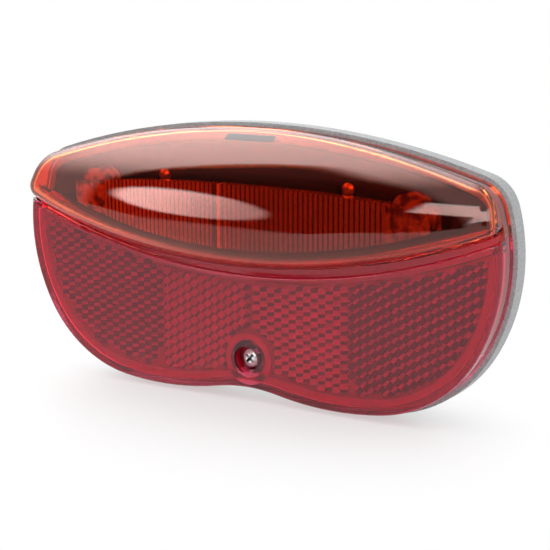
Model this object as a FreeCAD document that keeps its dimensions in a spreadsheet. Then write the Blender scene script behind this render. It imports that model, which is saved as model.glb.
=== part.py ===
import FreeCAD, Part
import math
import os
import re
import Sketcher
from FreeCAD import Placement, Rotation, Vector

# Battery tail light for the back plate of a bicycle carrier, in millimetres.
# Origin: the point of the flat mounting face midway between the two studs.
# X runs along the lamp, Z is up, and the light shines towards -Y. A reach is how far
# something lies in front of the mounting face, so a reach of 24 is the plane Y = -24.
# Heights are measured from the axis of the studs.

SIZES = (
    # Outline of the lens, seen from the front: six tangent arcs on each half
    ("end_room", 14.8, "from a contact plate to the widest point of the lens"),
    ("arch_top", 27.8, "highest point"),
    ("dip_height", -37.2, "lowest point of the middle, between the lobes"),
    ("dip_radius", 45.0, "hollow arc under the screw"),
    ("lobe_radius", 34.0, "lower outer corner of a lobe"),
    ("shoulder_radius", 8.9, "upper corner"),
    ("dip_turn", 11.5, "slope where the hollow arc ends, degrees"),
    ("floor_turn", 8.1, "slope where the flat arc under a lobe ends, degrees"),
    ("lobe_turn", 61.2, "slope where the lobe arc ends, degrees"),
    ("side_turn", 105.9, "slope where the side arc ends, degrees"),
    ("shoulder_turn", 162.85, "slope where the shoulder arc ends, degrees"),
    # Lens: lower plate, window that stands out above it, groove between them
    ("lens_face", 24.0, "reach of the lower plate"),
    ("lens_rear", 17.6, "reach of the rear edge of the skirt"),
    ("lens_wall", 1.8, "wall of the skirt and the window"),
    ("plate_thickness", 1.6, "lower plate"),
    ("nose_reach", 35.5, "furthest point of the window"),
    ("nose_height", 1.0, "height of that point"),
    ("nose_radius", 30.0, "curve of the window in its side view"),
    ("window_end_reach", 28.3, "reach of the window at the widest point of the lamp"),
    ("window_low", -5.7, "lower edge of the window in the middle"),
    ("window_end", 7.4, "height of that edge at the widest point of the lens"),
    ("plate_top", -8.2, "upper edge of the plate in the middle"),
    ("groove_end", 1.3, "height of the groove between them at the widest point"),
    ("groove_depth", 2.2, "groove between plate and window"),
    ("window_edge_radius", 3.6, "rounding round the window at its top and ends"),
    ("lip_radius", 9.0, "rounding of the window's lower edge in the middle"),
    ("lip_side_radius", 6.2, "the same rounding at lip_side"),
    ("lip_side", 48.0, "middle to where it is lip_side_radius"),
    ("plate_edge_radius", 0.8, "rounding round the lower plate"),
    # Screw that holds the lens, in its counterbore
    ("screw_height", -30.0, "height of the screw"),
    ("counterbore_diameter", 6.9, "counterbore in the plate"),
    ("counterbore_depth", 3.6, "counterbore in the plate"),
    ("counterbore_floor", 1.6, "floor that the screw head pulls on"),
    ("counterbore_wall", 1.25, "tube round the counterbore"),
    ("screw_diameter", 2.7, "shank"),
    ("screw_length", 13.0, "shank under the head"),
    ("screw_head_diameter", 4.6, "pan head"),
    ("screw_head_height", 1.7, "pan head"),
    ("screw_clearance", 0.3, "round the shank in the lens"),
    ("screw_running_fit", 0.05, "round the shank in the boss"),
    ("boss_diameter", 7.6, "boss for the screw"),
    ("ring_section", 1.0, "thickness of the rubber ring round the screw"),
    # Rear housing
    ("seam", 0.3, "gap between the lens and the housing"),
    ("overshoot", 1.0, "how far a cut runs on past what it cuts"),
    ("rim_overhang", 1.0, "how far the rim stands out past the lens"),
    ("rim_back", 12.8, "reach where the straight rim ends"),
    ("back_face", 1.4, "reach of the back"),
    ("back_inset", 6.0, "how far the back is drawn in from the lens outline"),
    ("back_edge_radius", 2.5, "rounding round the back"),
    ("housing_wall", 2.0, "side and back walls"),
    ("lip_clearance", 0.55, "between the lens skirt and the lip inside it"),
    ("lip_thickness", 1.4, "lip inside the lens skirt"),
    ("lip_height", 1.6, "lip in front of the rim"),
    ("gasket_width", 1.4, "groove for the rim gasket"),
    ("gasket_depth", 1.2, "groove for the rim gasket"),
    ("gasket_inset", 0.5, "from the lens outline to the groove"),
    ("gasket_squeeze", 0.05, "clearance of the gasket in its groove"),
    # Tongue that locates the top of the lens
    ("tongue_width", 14.0, "tongue"),
    ("tongue_thickness", 1.2, "tongue"),
    ("tongue_drop", 2.6, "from the lens outline to the tongue"),
    ("tongue_length", 3.0, "tongue behind the rear edge of the skirt"),
    ("tongue_clearance", 0.35, "round the tongue"),
    # Two studs that go through the carrier plate
    ("stud_spacing", 80.0, "between the studs"),
    ("stud_diameter", 5.0, "stud behind the mounting face"),
    ("stud_shoulder", 5.8, "thicker part of the stud inside the housing"),
    ("stud_length", 14.0, "stud behind the mounting face"),
    ("stud_head", 8.0, "across the flats of its hexagon head"),
    ("stud_head_height", 3.5, "hexagon head"),
    ("stud_seat", 4.2, "reach of the seat under the head"),
    ("stud_fit", 0.1, "round the stud and its head"),
    ("stud_boss_diameter", 14.4, "boss with the hexagon pocket"),
    ("stud_cover", 0.5, "how far that boss stands out past the stud's head"),
    ("stud_point", 0.6, "chamfer at the end of a stud"),
    ("pad_diameter", 16.0, "raised pad round each stud"),
    # Two AA cells in line
    ("cell_diameter", 14.5, "cell"),
    ("cell_length", 49.5, "cell without its nose"),
    ("cell_nose_diameter", 5.5, "nose"),
    ("cell_nose_length", 1.0, "nose"),
    ("cell_height", -17.0, "height of the axis of the cells"),
    ("cell_reach", 10.95, "reach of the axis of the cells"),
    ("cell_gap", 0.05, "between the nose of one cell and the base of the next"),
    ("spring_room", 4.8, "from the left contact plate to the left cell"),
    ("contact_pip", 1.15, "from the right cell to the right contact plate"),
    ("cradle_rib", 1.6, "thickness of a cradle rib"),
    ("cradle_inner", 12.0, "middle to the inner cradle ribs"),
    ("cradle_outer", 42.0, "middle to the outer cradle ribs"),
    ("cradle_fit", 0.1, "round the cells in their cradle"),
    ("cradle_reach", 9.0, "front of the cradle ribs"),
    ("contact_size", 9.5, "square contact plates"),
    ("contact_thickness", 0.4, "sheet of the contact plates"),
    ("contact_rib", 1.1, "ribs on both sides of a contact plate"),
    ("spring_wire", 0.7, "wire of the contact spring"),
    ("spring_base_radius", 4.0, "widest turn"),
    ("spring_tip_radius", 2.4, "narrowest turn"),
    ("spring_turns", 3.5, "turns"),
    # Circuit board, light sources and their screws
    ("board_half_length", 50.0, "circuit board"),
    ("board_low", 4.0, "lower edge of the board"),
    ("board_top", 16.0, "upper edge of the board"),
    ("board_reach", 13.4, "back of the board"),
    ("board_thickness", 1.6, "both boards"),
    ("post_x", 26.7, "middle to the posts that carry board and tray"),
    ("post_height", 14.0, "height of the posts"),
    ("post_diameter", 5.6, "post"),
    ("tray_screw_diameter", 2.0, "screw through tray and board"),
    ("tray_screw_head", 3.4, "its head"),
    ("tray_screw_head_height", 1.2, "its head"),
    ("tray_screw_length", 13.0, "its shank"),
    ("led_x", 45.0, "middle to the light sources"),
    ("led_height", 11.0, "height of the light sources"),
    ("led_diameter", 5.0, "dome of a light source"),
    ("led_barrel", 2.6, "straight part under the dome"),
    ("chip_size", 6.0, "square control chip"),
    ("chip_thickness", 1.5, "control chip"),
    ("component_rise", 4.0, "from the lower edge of the board to the components"),
    ("coil_x", 10.0, "middle to the coil"),
    ("coil_diameter", 5.2, "coil"),
    ("coil_thickness", 2.0, "coil"),
    ("resistor_x", -20.0, "first resistor"),
    ("resistor_pitch", 3.0, "between two resistors"),
    ("resistor_width", 1.3, "resistor"),
    ("resistor_length", 2.0, "resistor"),
    ("resistor_thickness", 0.6, "resistor"),
    # Black inner tray
    ("tray_inset", 4.3, "from the lens outline to the edge of the tray"),
    ("tray_low", -6.5, "lower edge of the tray"),
    ("tray_reach", 19.0, "front of the tray"),
    ("tray_thickness", 1.6, "plate and shelf of the tray"),
    ("shelf_rise", 3.0, "from the lower edge of the window to the shelf"),
    ("shelf_half_length", 56.0, "middle to the end of the shelf"),
    ("shelf_edge", 0.7, "front edge of the shelf in front of the light guide"),
    # Fluted light guide
    ("guide_gap", 6.4, "from the nose of the window to the guide"),
    ("guide_thickness", 3.0, "guide"),
    ("guide_half_length", 51.0, "middle to the end of the guide"),
    ("guide_top", 14.5, "upper edge in the middle"),
    ("guide_top_radius", 460.0, "curve of that edge"),
    ("guide_seat", 0.1, "between guide and shelf"),
    ("flute_pitch", 1.3, "between two flutes"),
    ("flute_depth", 0.35, "flute"),
    ("end_block", 6.0, "block at each end that takes the light in"),
    ("collar_diameter", 8.4, "round collar over each light source"),
    ("collar_back", 16.4, "reach of the back of the collars"),
    ("led_pocket_clearance", 0.3, "round the light source in its collar"),
    # Reflector behind the lower plate
    ("reflex_clearance", 0.3, "round the reflector inside the skirt"),
    ("reflex_thickness", 2.35, "reflector with its prisms"),
    ("reflex_gap", 0.05, "between plate, reflector and its back cover"),
    ("reflex_cover", 0.6, "back cover of the reflector"),
    # Push button and its switch
    ("button_x", 26.0, "middle to the button"),
    ("button_reach", 9.9, "reach of the axis of the button"),
    ("button_diameter", 7.6, "button"),
    ("button_fit", 0.1, "round the button"),
    ("button_proud", 0.7, "how far the button stands out"),
    ("button_travel", 0.6, "how far it goes in"),
    ("button_flange_diameter", 9.4, "flange that keeps it in"),
    ("button_flange", 0.8, "thickness of that flange"),
    ("button_stem", 0.7, "stem on the flange that meets the plunger"),
    ("collar_low", -40.2, "lower face of the collar round the button"),
    ("collar_floor", 4.6, "thickness of the collar under the flange"),
    ("collar_wall", 1.2, "wall of the collar"),
    ("switch_size", 6.0, "square body of the switch"),
    ("switch_body_height", 3.5, "body of the switch"),
    ("plunger_diameter", 3.4, "plunger of the switch"),
    ("plunger_length", 1.0, "plunger below the switch body"),
    ("switch_board_length", 15.0, "small circuit board"),
    ("switch_board_depth", 10.0, "small circuit board"),
    ("bracket_thickness", 1.4, "brackets under the small board"),
    # Wires
    ("wire_diameter", 1.0, "insulated wire"),
    ("wire_pitch", 1.3, "between two wires side by side"),
)

doc = FreeCAD.newDocument("tail_light")
sheet = doc.addObject("Spreadsheet::Sheet", "Sizes")
for row, (alias, value, note) in enumerate(SIZES, start=1):
    sheet.set("A%d" % row, note)
    sheet.set("B%d" % row, str(value))
    sheet.setAlias("B%d" % row, alias)
doc.recompute()
ALIASES = {alias for alias, value, note in SIZES}
EXACT = 1e-6
FORWARD = Rotation(Vector(1, 0, 0), 90)
SIDEWAYS = Rotation(Vector(0, 1, 0), 90)
CELL_ROW = "(2*cell_length + 2*cell_nose_length + cell_gap)"
CONTACT_LEFT = "-(spring_room + %s + contact_pip)/2" % CELL_ROW
CONTACT_RIGHT = "(spring_room + %s + contact_pip)/2" % CELL_ROW
CELL_START = CONTACT_LEFT + " + spring_room"
subparts = []


def size(alias):
    return float(sheet.get(alias))


def formula(text):
    """Puts the sheet's name before each alias in an expression."""
    return re.sub(r"[a-z][a-z_0-9]*", lambda word: "Sizes." + word.group()
                  if word.group() in ALIASES else word.group(), text)


def bind(thing, **properties):
    """Binds properties to expressions of the sheet; a double underscore stands for a dot."""
    for path, text in properties.items():
        thing.setExpression(path.replace("__", "."), formula(text))
    return thing


def place(thing, x="0", reach="0", height="0", turn=None):
    if turn is not None:
        thing.Placement = Placement(Vector(), turn)
    return bind(thing, Placement__Base__x=x, Placement__Base__y="-(%s)" % reach,
                Placement__Base__z=height)


def finished(thing, name):
    """Marks an object as a sub-part, which gets its own file."""
    thing.Label = name
    subparts.append(thing)
    return thing


# Primitives and booleans of the document

def block(name, x, reach, height, length, depth, tall):
    """Box from a left, rear, lower corner: length along X, depth forward, tall along Z."""
    made = bind(doc.addObject("Part::Box", name), Length=length, Width=depth, Height=tall)
    return place(made, x, "%s + (%s)" % (reach, depth), height)


def rod(name, radius, length, x="0", reach="0", height="0", turn=FORWARD):
    """Cylinder whose axis runs forward from a reach unless it is turned."""
    made = bind(doc.addObject("Part::Cylinder", name), Radius=radius, Height=length)
    return place(made, x, reach, height, turn)


def fused(name, *shapes):
    made = doc.addObject("Part::MultiFuse", name)
    made.Shapes = list(shapes)
    made.Refine = True
    return made


def common(name, first, second):
    made = doc.addObject("Part::Common", name)
    made.Base = first
    made.Tool = second
    return made


def cut(name, base, *tools):
    made = doc.addObject("Part::Cut", name)
    made.Base = base
    made.Tool = tools[0] if len(tools) == 1 else fused(name + "_tools", *tools)
    made.Refine = True
    return made


def prism(name, profile, length):
    """Profile pushed forward by a length."""
    made = doc.addObject("Part::Extrusion", name)
    made.Base = profile
    made.DirMode = "Custom"
    made.Dir = Vector(0, -1, 0)
    made.Solid = True
    return bind(made, LengthFwd=length)


def rounded(name, base, wanted):
    """Rounds edges of base; wanted gives the radius at an edge's two ends, or nothing."""
    doc.recompute()
    made = doc.addObject("Part::Fillet", name)
    made.Base = base
    made.Edges = [(number,) + wanted(edge) for number, edge in enumerate(base.Shape.Edges, start=1)
                  if wanted(edge)]
    return made


# Sketches and bodies

def sketch(body, name, role, points):
    """Closed polygon on an origin plane of a body, each corner bound to two expressions."""
    made = body.newObject("Sketcher::SketchObject", name)
    plane = [feature for feature in body.Origin.OriginFeatures if feature.Role == role][0]
    made.AttachmentSupport = (plane, [""])
    made.MapMode = "FlatFace"
    count = len(points)
    rough = size("cell_diameter")
    ring = [Vector(rough * (2 + math.cos(2 * math.pi * step / count)),
                   rough * (2 + math.sin(2 * math.pi * step / count)), 0) for step in range(count)]
    for step in range(count):
        made.addGeometry(Part.LineSegment(ring[step], ring[(step + 1) % count]), False)
    for step in range(count):
        made.addConstraint(Sketcher.Constraint("Coincident", step, 2, (step + 1) % count, 1))
    for step, (across, along) in enumerate(points):
        for kind, axis, text, start in (("DistanceX", -2, across, ring[step].x),
                                        ("DistanceY", -1, along, ring[step].y)):
            if text == "0":
                made.addConstraint(Sketcher.Constraint("PointOnObject", step, 1, axis))
            else:
                index = made.addConstraint(Sketcher.Constraint(kind, step, 1, start))
                made.setExpression("Constraints[%d]" % index, formula(text))
    return made


def turned(name, points, x="0", reach="0", height="0", turn=FORWARD):
    """Body turned from a half section of radius and distance along its axis."""
    body = doc.addObject("PartDesign::Body", name)
    section = sketch(body, name + "_section", "XZ_Plane", points)
    revolution = body.newObject("PartDesign::Revolution", name + "_turned")
    revolution.Profile = section
    revolution.ReferenceAxis = (section, ["V_Axis"])
    revolution.Angle = 360
    return place(body, x, reach, height, turn)


# Outline of the lamp

def half_width():
    """Middle to the widest point of the lens, which is as wide as its two cells need."""
    row = size("spring_room") + 2 * (size("cell_length") + size("cell_nose_length"))
    return (row + size("cell_gap") + size("contact_pip")) / 2 + size("end_room")


def window_edge():
    """Lower edge of the window in the middle, and the radius of its curve."""
    rise = size("window_end") - size("window_low")
    return size("window_low"), (half_width() ** 2 + rise ** 2) / (2 * rise)


def plate_edge():
    """Upper edge of the plate in the middle, and the radius of its curve."""
    rise = size("window_end") - size("groove_end") - size("plate_top")
    return size("plate_top"), (half_width() ** 2 + rise ** 2) / (2 * rise)


def outline_arcs():
    """Centre, radius and slopes of each arc of the right half, from the dip to the top.

    The flat floor arc, the side arc and the long top arc take whatever radius makes the
    half as wide as the cells need, as high as arch_top, and level at the other half.
    """
    turns = [math.radians(size(name)) for name in
             ("dip_turn", "floor_turn", "lobe_turn", "side_turn", "shoulder_turn")]
    dip, floor, lobe, side, shoulder = turns
    hollow, corner, upper = size("dip_radius"), size("lobe_radius"), size("shoulder_radius")
    width = half_width()
    spread = math.sin(floor) + math.sin(dip)
    floor_free = (width - hollow * math.sin(dip) - corner * (math.sin(lobe) - math.sin(floor))) / spread
    floor_share = (1 - math.sin(lobe)) / spread
    arch_free = (width + upper * (math.sin(shoulder) - math.sin(side))) / math.sin(shoulder)
    arch_share = (math.sin(side) - 1) / math.sin(shoulder)
    climb = size("arch_top") - size("dip_height") + hollow * (1 - math.cos(dip))
    climb -= floor_free * (math.cos(dip) - math.cos(floor))
    climb -= corner * (math.cos(floor) - math.cos(lobe))
    climb -= upper * (math.cos(side) - math.cos(shoulder))
    climb -= arch_free * (math.cos(shoulder) + 1)
    gain = math.cos(lobe) - math.cos(side) + arch_share * (math.cos(shoulder) + 1)
    gain -= floor_share * (math.cos(dip) - math.cos(floor))
    side_radius = climb / gain
    radii = (-hollow, floor_free - floor_share * side_radius, corner, side_radius, upper,
             arch_free + arch_share * side_radius)
    slopes = (0.0, -dip, floor, lobe, side, shoulder, math.pi)
    arcs = []
    x, z = 0.0, size("dip_height")
    for number, radius in enumerate(radii):
        start, end = slopes[number], slopes[number + 1]
        centre_x = x - radius * math.sin(start)
        centre_z = z + radius * math.cos(start)
        arcs.append((centre_x, centre_z, radius, start, end))
        x = centre_x + radius * math.sin(end)
        z = centre_z - radius * math.cos(end)
    return arcs


def outline(name, inset, reach):
    """The lamp's outline drawn in by an inset, as a closed wire at a reach."""
    def point(arc, slope, side):
        centre_x, centre_z, radius, start, end = arc
        away = radius - inset
        return Vector(side * (centre_x + away * math.sin(slope)), -reach,
                      centre_z - away * math.cos(slope))

    arcs = outline_arcs()
    edges = []
    for side in (1, -1):
        for arc in arcs:
            start, end = arc[3], arc[4]
            ends = [point(arc, slope, side) for slope in (start, (start + end) / 2, end)]
            if arc is arcs[0] or arc is arcs[-1]:
                continue
            edges.append(Part.Arc(*ends).toShape())
    dip, arch = arcs[0], arcs[-1]
    for arc, outer, middle in ((dip, dip[4], dip[3]), (arch, arch[3], arch[4])):
        ends = [point(arc, outer, -1), point(arc, middle, 1), point(arc, outer, 1)]
        edges.append(Part.Arc(*ends).toShape())
    made = doc.addObject("Part::Feature", name)
    made.Shape = Part.Wire(Part.__sortEdges__(edges))
    return made


def far_side():
    """Middle to a place well outside the lamp, where the shapes that only cut may end."""
    return half_width() + 3 * size("housing_wall")


def hollow_region(name, reach, lower, upper):
    """Face between two curves that sag in the middle; None stands for a far straight edge.

    A curve is made in four pieces, so that its rounding can change from piece to piece.
    """
    far = far_side()
    side = size("lip_side")
    stops = (-far, -side, 0, side, far)
    edges = []
    ends = []
    for curve, beyond in ((lower, -1), (upper, 1)):
        if curve is None:
            ends.append(beyond * far)
            edges.append(Part.makeLine(Vector(-far, -reach, ends[-1]), Vector(far, -reach, ends[-1])))
            continue
        ends.append(arc_level(curve, far))
        for start, end in zip(stops, stops[1:]):
            edges.append(Part.Arc(*[Vector(x, -reach, arc_level(curve, x))
                                    for x in (start, (start + end) / 2, end)]).toShape())
    for x in (-far, far):
        edges.append(Part.makeLine(Vector(x, -reach, ends[0]), Vector(x, -reach, ends[1])))
    made = doc.addObject("Part::Feature", name)
    made.Shape = Part.Wire(Part.__sortEdges__(edges))
    return made


def plan_radius():
    """Curve of the window seen from above, from its reach in the middle and at the ends."""
    drop = size("nose_reach") - size("window_end_reach")
    return (half_width() ** 2 + drop ** 2) / (2 * drop)


def window_form(name, inset):
    """Solid behind the window's doubly curved front, drawn in by an inset."""
    axis = plan_radius() - size("nose_reach")
    top = size("arch_top") + size("overshoot")
    bottom = size("dip_height") - size("lobe_radius")
    away = size("nose_radius") - inset
    centre = size("nose_reach") - size("nose_radius")

    def nose(height):
        rise = height - size("nose_height")
        return centre + math.sqrt(away ** 2 - rise ** 2)

    def point(reach, height):
        return Vector(0, -reach, height)

    top = min(top, size("nose_height") + 0.99 * away)
    low = size("window_low") - size("lens_wall")
    back = size("back_face")
    front = centre + away
    edges = [Part.makeLine(point(back, bottom), point(front, bottom)),
             Part.makeLine(point(front, bottom), point(front, low)),
             Part.makeLine(point(front, low), point(nose(low), low)),
             Part.Arc(point(nose(low), low), point(front, size("nose_height")),
                      point(nose(top), top)).toShape(),
             Part.makeLine(point(nose(top), top), point(back, top)),
             Part.makeLine(point(back, top), point(back, bottom))]
    half_turn = math.degrees(math.asin(far_side() / plan_radius()))
    pivot = Vector(0, axis, 0)
    face = Part.Face(Part.Wire(edges))
    face.rotate(pivot, Vector(0, 0, 1), -half_turn)
    made = doc.addObject("Part::Feature", name)
    made.Shape = face.revolve(pivot, Vector(0, 0, 1), 2 * half_turn)
    return made


def raised(edge, step):
    """The same edge a step higher, with its curve drawn in to stay parallel."""
    low, radius = edge
    return low + step, radius - step


def arc_level(edge, x):
    low, radius = edge
    return low + radius - math.sqrt(radius ** 2 - x ** 2)


# Rear housing: one grey moulding with the lip, posts, cradle ribs, stud bosses and button collar

def rear_housing():
    rim_front = size("lens_rear") - size("seam")
    wall = size("housing_wall")
    lip_inset = size("lens_wall") + size("lip_clearance")
    inside = lip_inset + size("lip_thickness")
    rim = outline("rim_outline", -size("rim_overhang"), size("rim_back"))
    back = outline("back_outline", size("back_inset"), size("back_face"))
    band = prism("rim_band", rim, "lens_rear - seam - rim_back")
    taper = doc.addObject("Part::Loft", "tapered_back")
    taper.Sections = [back, rim]
    taper.Solid = True
    taper.Ruled = True

    def round_back(edge):
        box = edge.BoundBox
        radius = size("back_edge_radius")
        flat = box.YLength < EXACT and abs(box.YMin + size("back_face")) < EXACT
        return (radius, radius) if flat else None

    shell = rounded("rounded_back", taper, round_back)
    lip = prism("lip_outer", outline("lip_outline", lip_inset, rim_front), "lip_height")
    mouth = prism("mouth", outline("mouth_outline", inside, size("rim_back")),
                  "lens_rear - seam - rim_back + lip_height + overshoot")
    inner = doc.addObject("Part::Loft", "tapered_hollow")
    inner_reach = size("back_face") + wall
    share = (size("rim_back") - inner_reach) / (size("rim_back") - size("back_face"))
    drawn_in = share * (size("back_inset") + size("rim_overhang")) - size("rim_overhang") + wall
    inner.Sections = [outline("hollow_back", drawn_in, inner_reach),
                      outline("hollow_front", inside, size("rim_back"))]
    inner.Solid = True
    inner.Ruled = True
    groove_inset = size("gasket_inset")
    groove_floor = rim_front - size("gasket_depth")
    groove = cut("gasket_groove",
                 prism("groove_outer", outline("groove_outline", groove_inset, groove_floor),
                       "gasket_depth + overshoot"),
                 prism("groove_inner", outline("groove_core", groove_inset + size("gasket_width"),
                                               groove_floor), "gasket_depth + overshoot"))
    slot = block("tongue_slot", "-(tongue_width/2 + tongue_clearance)", "lens_rear - tongue_length"
                 " - tongue_clearance", "arch_top - tongue_drop - tongue_thickness - 2*overshoot",
                 "tongue_width + 2*tongue_clearance", "tongue_length + lip_height + overshoot",
                 "tongue_thickness + tongue_clearance + 2*overshoot")
    mass = fused("housing_mass", shell, band, lip)
    walls = cut("housing_walls", mass, mouth, inner, groove, slot)
    outside = []
    posts = [rod("screw_boss", "boss_diameter/2",
                 "lens_face - counterbore_depth - counterbore_floor - seam - back_face",
                 "0", "back_face", "screw_height")]
    holes = [rod("screw_hole", "screw_diameter/2 + screw_running_fit", "lens_face",
                 "0", "lens_face - counterbore_depth - screw_length - overshoot", "screw_height"),
             rod("seal_recess", "screw_diameter/2 + ring_section + screw_clearance", "lens_face",
                 "0", "lens_face - counterbore_depth - counterbore_floor - seam - ring_section",
                 "screw_height"),
             rod("tube_relief", "counterbore_diameter/2 + counterbore_wall + lip_clearance",
                 "lens_face", "0", "lens_face - counterbore_depth - counterbore_floor - seam",
                 "screw_height")]
    for side, sign in (("left", "-"), ("right", "")):
        posts.append(rod("stud_boss_" + side, "stud_boss_diameter/2",
                         "stud_seat + stud_head_height + stud_cover - back_face",
                         sign + "stud_spacing/2", "back_face"))
        outside.append(rod("pad_" + side, "pad_diameter/2", "back_face + housing_wall/2",
                           sign + "stud_spacing/2"))
        posts.append(rod("tray_post_" + side, "post_diameter/2", "board_reach - back_face",
                         sign + "post_x", "back_face", "post_height"))
        holes.append(rod("stud_hole_" + side, "stud_shoulder/2 + stud_fit", "lens_face",
                         sign + "stud_spacing/2", "-overshoot"))
        pocket = bind(doc.addObject("Part::Prism", "head_pocket_" + side),
                      Circumradius="(stud_head/2 + stud_fit)/cos(30deg)", Height="lens_face")
        holes.append(place(pocket, sign + "stud_spacing/2", "stud_seat", "0", FORWARD))
        holes.append(rod("tray_pilot_" + side, "tray_screw_diameter/2 + screw_running_fit",
                         "lens_face", sign + "post_x", "tray_reach - tray_screw_length - overshoot",
                         "post_height"))
        for spot in ("inner", "outer"):
            posts.append(block("cradle_%s_%s" % (spot, side), "%scradle_%s - cradle_rib/2" % (sign, spot),
                               "back_face + housing_wall/2", "cell_height - cell_diameter/2 - cradle_rib",
                               "cradle_rib", "cradle_reach - back_face - housing_wall/2",
                               "cell_diameter + 2*cradle_rib"))
    for side, start in (("left", CONTACT_LEFT + " - contact_thickness"), ("right", CONTACT_RIGHT)):
        for number, offset in enumerate(("-contact_rib - cradle_fit", "contact_thickness + cradle_fit")):
            posts.append(block("contact_rib_%s_%d" % (side, number), "%s + (%s)" % (start, offset),
                               "back_face + housing_wall/2", "cell_height - contact_size/2", "contact_rib",
                               "cell_reach - spring_base_radius - spring_wire/2 - cradle_fit"
                               " - back_face - housing_wall/2", "contact_size"))
    holes.append(rod("cell_bed", "cell_diameter/2 + cradle_fit", CELL_ROW + " + 2*cradle_fit",
                     CELL_START + " - cradle_fit", "cell_reach", "cell_height", SIDEWAYS))
    outside.append(rod("button_collar", "button_flange_diameter/2 + collar_wall + button_fit",
                       "collar_floor + button_flange + button_travel + overshoot", "button_x", "button_reach",
                       "collar_low", Rotation()))
    holes.append(rod("button_hole", "button_diameter/2 + button_fit", "collar_floor + 2*overshoot",
                     "button_x", "button_reach", "collar_low - overshoot", Rotation()))
    holes.append(rod("button_well", "button_flange_diameter/2 + button_fit",
                     "button_flange + button_travel + 3*overshoot", "button_x", "button_reach",
                     "collar_low + collar_floor", Rotation()))
    for side, corner in (("left", "-switch_board_length/2"),
                         ("right", "switch_board_length/2 - bracket_thickness")):
        posts.append(block("bracket_" + side, "button_x + (%s)" % corner, "back_face + housing_wall/2",
                           "collar_low + collar_floor", "bracket_thickness",
                           "button_reach + switch_board_depth/2 - back_face - housing_wall/2",
                           "button_flange + plunger_length + switch_body_height + button_stem"))
    holes.append(block("wire_channel", "button_x - wire_pitch", "back_face + housing_wall - wire_diameter",
                       "cell_height - cell_diameter/2 - 3*wire_diameter", "2*wire_pitch",
                       "wire_diameter + overshoot", "cell_diameter + 6*wire_diameter"))
    inside_posts = common("inside_posts", fused("posts", *posts), mass)
    return finished(cut("housing", fused("housing_with_posts", walls, inside_posts, *outside), *holes),
                    "rear_housing")


# Front lens: red moulding with the window, the groove, the plate, the counterbore and the tongue

def lens_mass(stem, inset, plate_reach, groove_reach, reach):
    """Skirt, plate and window as one solid; the same form drawn in is their hollow."""
    whole = prism(stem + "_column", outline(stem + "_outline", inset, reach), "nose_reach")
    curved = common(stem + "_curved", whole, window_form(stem + "_form", inset))
    upper = raised(window_edge(), inset)
    lower = raised(plate_edge(), -inset)
    below = prism(stem + "_below", hollow_region(stem + "_below_edge", plate_reach, None, upper),
                  "nose_reach")
    groove = prism(stem + "_groove", hollow_region(stem + "_groove_edges", groove_reach, lower, upper),
                   "nose_reach")
    mass = cut(stem + "_mass", cut(stem + "_window", curved, below), groove)
    for step in (mass, mass.Base):
        step.Refine = False

    def rounding(x):
        """Radius along the window's lower edge."""
        for near, far, inner, outer in (
                (0, size("lip_side"), "lip_radius", "lip_side_radius"),
                (size("lip_side"), half_width() + EXACT, "lip_side_radius", "window_edge_radius")):
            if abs(x) <= far:
                share = (abs(x) - near) / (far - near)
                return (1 - share) * size(inner) + share * size(outer) - inset

    def round_window(edge):
        box = edge.BoundBox
        middle = edge.valueAt((edge.FirstParameter + edge.LastParameter) / 2)
        over = middle.z - arc_level(upper, middle.x)
        on_side = abs(abs(middle.x) - size("lip_side")) < EXACT or abs(middle.x) < EXACT
        if over < -EXACT or box.YLength < EXACT or box.YMax > -reach - EXACT:
            return None
        if over > EXACT or box.XLength < EXACT:
            corner = size("window_edge_radius") - inset
            return None if over < EXACT and on_side else (corner, corner)
        return tuple(rounding(point.X) for point in edge.Vertexes)

    return rounded(stem + "_window_edge", mass, round_window)


def front_lens():
    face = size("lens_face")
    rear = size("lens_rear")
    wall = size("lens_wall")
    back = face - size("plate_thickness")

    def round_plate(edge):
        box = edge.BoundBox
        radius = size("plate_edge_radius")
        return (radius, radius) if box.YLength < EXACT and abs(box.YMin + face) < EXACT else None

    outer = lens_mass("lens", 0.0, face, face - size("groove_depth"), rear)
    softened = rounded("lens_plate_edge", outer, round_plate)
    hollow = lens_mass("hollow", wall, back, face - size("groove_depth") - size("plate_thickness"),
                       rear - size("overshoot"))
    shell = cut("lens_shell", softened, hollow)
    tube = rod("counterbore_tube", "counterbore_diameter/2 + counterbore_wall",
               "counterbore_depth + counterbore_floor - plate_thickness/2", "0",
               "lens_face - counterbore_depth - counterbore_floor", "screw_height")
    tongue = block("tongue", "-tongue_width/2", "lens_rear - tongue_length",
                   "arch_top - tongue_drop - tongue_thickness", "tongue_width",
                   "nose_reach - nose_radius + sqrt(nose_radius^2 - (arch_top - tongue_drop"
                   " - nose_height)^2) - lens_wall/2 - lens_rear + tongue_length", "tongue_thickness")
    bore = rod("counterbore", "counterbore_diameter/2", "counterbore_depth + overshoot", "0",
               "lens_face - counterbore_depth", "screw_height")
    hole = rod("lens_screw_hole", "screw_diameter/2 + screw_clearance", "lens_face", "0", "rim_back",
               "screw_height")
    return finished(cut("lens", fused("lens_with_tube", shell, tube, tongue), bore, hole),
                    "front_lens")


def reflector(name, back, thickness):
    """Plate that fills the lens behind its lower plate, round the counterbore tube."""
    inset = size("lens_wall") + size("reflex_clearance")
    column = prism(name + "_column", outline(name + "_outline", inset, back), thickness)
    above = hollow_region(name + "_top", back - size("overshoot"), raised(plate_edge(), -inset), None)
    tube = rod(name + "_hole", "counterbore_diameter/2 + counterbore_wall + reflex_clearance",
               "lens_face", "0", "rim_back", "screw_height")
    return finished(cut(name, column, prism(name + "_above", above, "lens_face"), tube), name)


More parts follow.
